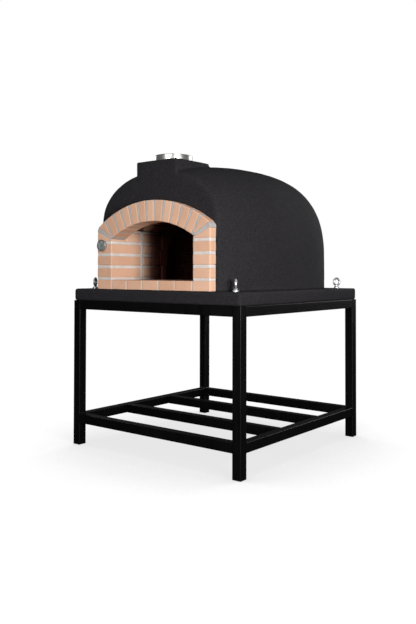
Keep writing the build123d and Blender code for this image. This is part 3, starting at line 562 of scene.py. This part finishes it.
def skin(name, nodes, mat, voxel, rounds, wobble, round_bricks=False):
    """A trowelled plaster skin over CAD nodes: rounded edges, slightly uneven surface."""
    verts, faces = [], []
    for n in nodes:
        data = NODES[n].data
        base = len(verts)
        verts += [v.co.copy() for v in data.vertices]
        faces += [[base + i for i in p.vertices] for p in data.polygons]
    mesh = remeshed(verts, faces, voxel)
    lo, hi = corners_of(verts)
    co = relax(mesh, rounds)
    move_points(mesh, co)
    nor = normals_of(mesh)
    grain = 0.0004
    for i in range(len(co)):
        p = Vector(co[i])
        d = wobble * (noise.noise(p * 7.0) + 0.6 * noise.noise(p * 23.0)) + grain * noise.noise(p * 120.0)
        co[i] += nor[i] * (d - wobble * 0.8)
    if round_bricks:
        hug_bricks(co)
    co = np.clip(co, lo, hi)
    if round_bricks:
        sink_foot(co, lo[2])
    move_points(mesh, co)
    return link(name, mesh, "oven", mat, True, nodes)


skin("plaster_skin", ("render_shell", "chimney_render"), "render",
     0.005, 4, 0.0009, round_bricks=True)
skin("slab_skin", ("base_slab",), "slab", 0.006, 3, 0.0006)


# ------------------------------------------------------------------ welds and flue collar
def weld_ripples():
    """Each weld bead as a row of overlapping scales."""
    voxel, pitch, depth, slant = 0.0011, 0.0034, 0.0006, 120.0
    parts = []
    for verts, faces in solids_of("weld_beads"):
        lo, hi = corners_of(verts)
        middle = (lo + hi) / 2
        axis = int(np.argmax(hi - lo))
        mesh = remeshed(verts, faces, voxel)
        co = relax(mesh, 2)
        move_points(mesh, co)
        across = np.abs(co - middle).sum(1) - np.abs(co[:, axis] - middle[axis])
        phase = (co[:, axis] - lo[axis]) / pitch + across * slant + random.random()
        co += normals_of(mesh) * (np.abs(np.sin(phase * math.pi)) * depth - depth)[:, None]
        parts.append((np.clip(co, lo, hi), faces_of(mesh), random.random()))
        bpy.data.meshes.remove(mesh)
    mesh = join_meshes("weld_ripples", parts)
    link("weld_ripples", mesh, "oven", "weld", True, ("weld_beads",))


weld_ripples()


def lathe(name, profile, centre, steps, wobble=0.0):
    """Closed ring turned from a profile of (radius, z) points round a vertical axis."""
    bm = bmesh.new()
    rows = []
    for i in range(steps):
        a = 2 * math.pi * i / steps
        w = wobble * (math.sin(3 * a + 0.7) + 0.6 * math.sin(7 * a + 2.1))
        rows.append([bm.verts.new((centre.x + (r + w) * math.cos(a), centre.y + (r + w) * math.sin(a), z))
                     for r, z in profile])
    for i in range(steps):
        a, b = rows[i], rows[(i + 1) % steps]
        for k in range(len(profile)):
            k2 = (k + 1) % len(profile)
            bm.faces.new((a[k], b[k], b[k2], a[k2]))
    bmesh.ops.recalc_face_normals(bm, faces=bm.faces)
    mesh = bpy.data.meshes.new(name)
    bm.to_mesh(mesh)
    bm.free()
    return mesh


FLUE_LO, FLUE_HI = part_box("flue_collar")
FLUE_R, FLUE_WALL = 0.1026, 0.0014
FLUE_LOW, FLUE_TOP = FLUE_LO.z + 0.001, FLUE_HI.z - 0.0004
FLUE_CENTRE = (FLUE_LO + FLUE_HI) / 2


def flue_ring():
    """Stainless collar: thin wall, rolled top lip, low swage."""
    r, bead, lip_start, swage, shallow = FLUE_R, 0.0011, 0.006, 0.0285, 0.0004
    lip_angles = [math.radians(-60 + 30 * k) for k in range(11)]
    lip = [(r - FLUE_WALL / 2 + bead * math.cos(t), FLUE_TOP - bead + bead * math.sin(t)) for t in lip_angles]
    outer = [(r - FLUE_WALL, FLUE_LOW), (r, FLUE_LOW), (r, FLUE_TOP - swage - 0.0015),
             (r - shallow, FLUE_TOP - swage), (r, FLUE_TOP - swage + 0.0015), (r, FLUE_TOP - lip_start)]
    inner = [(r - FLUE_WALL, FLUE_TOP - lip_start)]
    mesh = lathe("flue_ring", outer + lip + inner, FLUE_CENTRE, 192, 0.00008)
    link("flue_ring", mesh, "oven", "stainless", True, ("flue_collar",))


def flue_flange():
    """Flat plate round the collar's foot, hidden under the chimney's render."""
    half_side, hole_r, thickness = 0.113, 0.100, 0.0016
    bm = bmesh.new()
    bmesh.ops.create_grid(bm, x_segments=24, y_segments=24, size=half_side)
    for f in [f for f in bm.faces if f.calc_center_median().length < hole_r]:
        bm.faces.remove(f)
    bmesh.ops.solidify(bm, geom=bm.faces[:], thickness=thickness)
    bmesh.ops.translate(bm, verts=bm.verts, vec=(FLUE_CENTRE.x, FLUE_CENTRE.y, FLUE_LOW + 0.0012))
    plate = bpy.data.meshes.new("flue_flange")
    bm.to_mesh(plate)
    bm.free()
    link("flue_flange", plate, "oven", "stainless", False)


def flue_seam():
    """Lengthwise weld seam at the collar's back, as a row of small beads."""
    angle, first, pitch, sunk = math.radians(100), 0.008, 0.0036, 0.0004
    x = FLUE_CENTRE.x + (FLUE_R - sunk) * math.cos(angle)
    y = FLUE_CENTRE.y + (FLUE_R - sunk) * math.sin(angle)
    bead = Matrix.Diagonal((0.0014, 0.0006, 0.0024, 1))
    bm = bmesh.new()
    for k in range(40):
        place = Matrix.Translation((x, y, FLUE_TOP - first - k * pitch))
        bmesh.ops.create_uvsphere(bm, u_segments=10, v_segments=6, radius=1.0, matrix=place @ bead)
    seam = bpy.data.meshes.new("flue_seam")
    bm.to_mesh(seam)
    bm.free()
    link("flue_seam", seam, "oven", "stainless", True)


flue_ring()
flue_flange()
flue_seam()


# ------------------------------------------------------------------ thermometer's dial
DIAL_LO, DIAL_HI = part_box("thermo_dial")
DIAL_R = (DIAL_HI.x - DIAL_LO.x) / 2
DIAL_X, DIAL_Z = (DIAL_LO.x + DIAL_HI.x) / 2, (DIAL_LO.z + DIAL_HI.z) / 2
PRINT_Y = DIAL_LO.y - 0.00012
SCALE_START, SCALE_SWEEP = 225, 270


def dial_ticks():
    """Scale ticks printed on the dial: 50 divisions, longer at every 5th and 10th."""
    divisions = 50
    bm = bmesh.new()
    for k in range(divisions + 1):
        a = math.radians(SCALE_START - SCALE_SWEEP * k / divisions)
        big = k % 10 == 0
        start = DIAL_R * (0.80 if big else 0.86 if k % 5 == 0 else 0.89)
        end = DIAL_R * 0.94
        half = DIAL_R * (0.020 if big else 0.010)
        cosine, sine = math.cos(a), math.sin(a)
        corners = ((start, half), (end, half), (end, -half), (start, -half))
        quad = [(DIAL_X + out * cosine - side * sine, PRINT_Y, DIAL_Z + out * sine + side * cosine)
                for out, side in corners]
        bm.faces.new([bm.verts.new(q) for q in quad])
    mesh = bpy.data.meshes.new("dial_ticks")
    bm.to_mesh(mesh)
    bm.free()
    link("dial_ticks", mesh, "thermometer", "ink", False)


def dial_numbers():
    """Plain numbers 0 to 500, upright, inside the ticks."""
    numbers, ring, height = 6, DIAL_R * 0.62, DIAL_R * 0.21
    for k in range(numbers):
        a = math.radians(SCALE_START - SCALE_SWEEP / (numbers - 1) * k)
        font = bpy.data.curves.new("number", "FONT")
        font.body, font.size, font.align_x, font.align_y = str(k * 100), height, "CENTER", "CENTER"
        text = bpy.data.objects.new("number", font)
        bpy.context.scene.collection.objects.link(text)
        dg = bpy.context.evaluated_depsgraph_get()
        mesh = bpy.data.meshes.new_from_object(text.evaluated_get(dg))
        bpy.data.objects.remove(text)
        place = Matrix.Translation((DIAL_X + ring * math.cos(a), PRINT_Y, DIAL_Z + ring * math.sin(a)))
        mesh.transform(place @ Matrix.Rotation(math.radians(90), 4, "X"))
        link(f"dial_number_{k}", mesh, "thermometer", "ink", False)


dial_ticks()
dial_numbers()


# ------------------------------------------------------------------ CAD pieces shown as they are
PAINTED = {
    "dome_bricks": "dome_brick", "dome_crown": "hood", "smoke_hood": "hood",
    "fibre_blanket": "fibre", "insulating_fill": "fill", "hearth_board": "board",
    "thermo_sleeve": "brass", "thermo_stem": "bezel", "thermo_case": "bezel", "thermo_bezel": "bezel",
    "thermo_dial": "dial", "thermo_pointer": "ink", "thermo_glass": "glass",
    "foot_caps": "plastic", "ferrules": "zinc",
}
STEELWORK = ("leg_", "top_rail_", "low_rail_", "shelf_bar_", "cross_bar_")
for n, finish in PAINTED.items():
    paint(NODES[n], finish)
for n in NODES:
    if n.startswith(STEELWORK):
        paint(NODES[n], "steel")
    if n.startswith("eye_bolt_"):
        paint(NODES[n], "zinc")


# ------------------------------------------------------------------ floor, light, camera
def floor():
    """Pale floor: soft contact shade for the camera, fading into the white backdrop away from the part."""
    half_side, below_feet = 40, 0.0005
    corners = [(-half_side, -half_side, 0), (half_side, -half_side, 0),
               (half_side, half_side, 0), (-half_side, half_side, 0)]
    mesh = bpy.data.meshes.new("floor")
    mesh.from_pydata(corners, [], [(0, 1, 2, 3)])
    obj = bpy.data.objects.new("floor", mesh)
    bpy.context.scene.collection.objects.link(obj)
    m = Mat("floor_pale")
    far = m.between(m.node("VectorMath", "LENGTH", Vector=m.coord).outputs["Value"], 1.5, 2.4)
    shade = m.node("AmbientOcclusion", Distance=1.5, Normal=(-0.05, 0.50, 0.86))
    shade.samples = 12
    levels = ((0.35, 0.775), (0.60, 0.785), (0.71, 0.815), (0.79, 0.96), (0.88, 1.0))
    lit = m.ramp(shade.outputs["AO"], *levels)
    m.feed(m.shader.inputs["Emission Color"], m.mix(far, lit, (1.0, 1.0, 1.0)))
    m.feed(m.shader.inputs["Emission Strength"], m.node("LightPath").outputs["Is Camera Ray"])
    m.out((0.05, 0.05, 0.05), 0.95, None, Specular_IOR_Level=0.0)
    obj.data.materials.append(m.mat)
    obj.location.z = -below_feet


def area(name, size, place, aim, power):
    """White softbox of size (width, height), in watts, turned towards a point."""
    data = bpy.data.lights.new(name, "AREA")
    data.shape, data.size, data.size_y = "RECTANGLE", size[0], size[1]
    data.energy = power
    obj = bpy.data.objects.new(name, data)
    obj.location = place
    obj.rotation_mode = "QUATERNION"
    obj.rotation_quaternion = (Vector(aim) - Vector(place)).to_track_quat("-Z", "Y")
    bpy.context.scene.collection.objects.link(obj)


def world(camera_level, fill):
    """White backdrop for the camera, and a faint even fill for everything else."""
    w = bpy.data.worlds.new("studio")
    bpy.context.scene.world = w
    w.use_nodes = True
    t = w.node_tree
    bg = t.nodes["Background"]
    path = t.nodes.new("ShaderNodeLightPath")
    mix = t.nodes.new("ShaderNodeMix")
    mix.data_type = "FLOAT"
    t.links.new(path.outputs["Is Camera Ray"], mix.inputs[0])
    mix.inputs[2].default_value, mix.inputs[3].default_value = fill, camera_level
    t.links.new(mix.outputs[0], bg.inputs["Strength"])
    bg.inputs["Color"].default_value = (1, 1, 1, 1)


def camera(place, yaw, pitch, roll, lens, shift_y):
    """Pinhole camera: yaw 0 looks along +Y and grows to the left, angles in degrees."""
    cy, sy = math.cos(math.radians(yaw)), math.sin(math.radians(yaw))
    cp, sp = math.cos(math.radians(pitch)), math.sin(math.radians(pitch))
    look = Vector((-sy * cp, cy * cp, sp))
    level = Vector((cy, sy, 0))
    raised = level.cross(look)
    r = math.radians(roll)
    right = level * math.cos(r) + raised * math.sin(r)
    up = raised * math.cos(r) - level * math.sin(r)
    data = bpy.data.cameras.new("camera")
    data.sensor_width, data.lens, data.shift_y = 36.0, lens, shift_y
    data.clip_start, data.clip_end = 0.05, 200
    obj = bpy.data.objects.new("camera", data)
    bpy.context.scene.collection.objects.link(obj)
    basis = Matrix((right, up, -look)).transposed()
    obj.matrix_world = Matrix.Translation(place) @ basis.to_4x4()
    bpy.context.scene.camera = obj


floor()
world(1.0, 0.06)
area("sky_box", (4.0, 4.0), (0.3, 0.2, 5.0), (0, 0, 0), 21.0)
area("key_right", (0.9, 1.2), (3.17, -1.87, 1.20), (0.1, -0.3, 0.95), 116.0)
area("front_soft", (2.0, 2.0), (0.8, -4.7, 1.9), (0, 0, 1.0), 88.0)
area("back_soft", (2.4, 2.4), (1.2, 4.6, 2.2), (0, 0, 0.9), 60.0)
area("left_soft", (2.4, 2.4), (-4.6, 0.7, 2.2), (0, 0, 0.9), 42.0)
camera((2.4856, -3.2393, 0.9730), 38.328, 1.135, 0.115, 40.4564, -0.08702)
scene = bpy.context.scene
scene.view_settings.view_transform = "Standard"
scene.view_settings.look = "None"
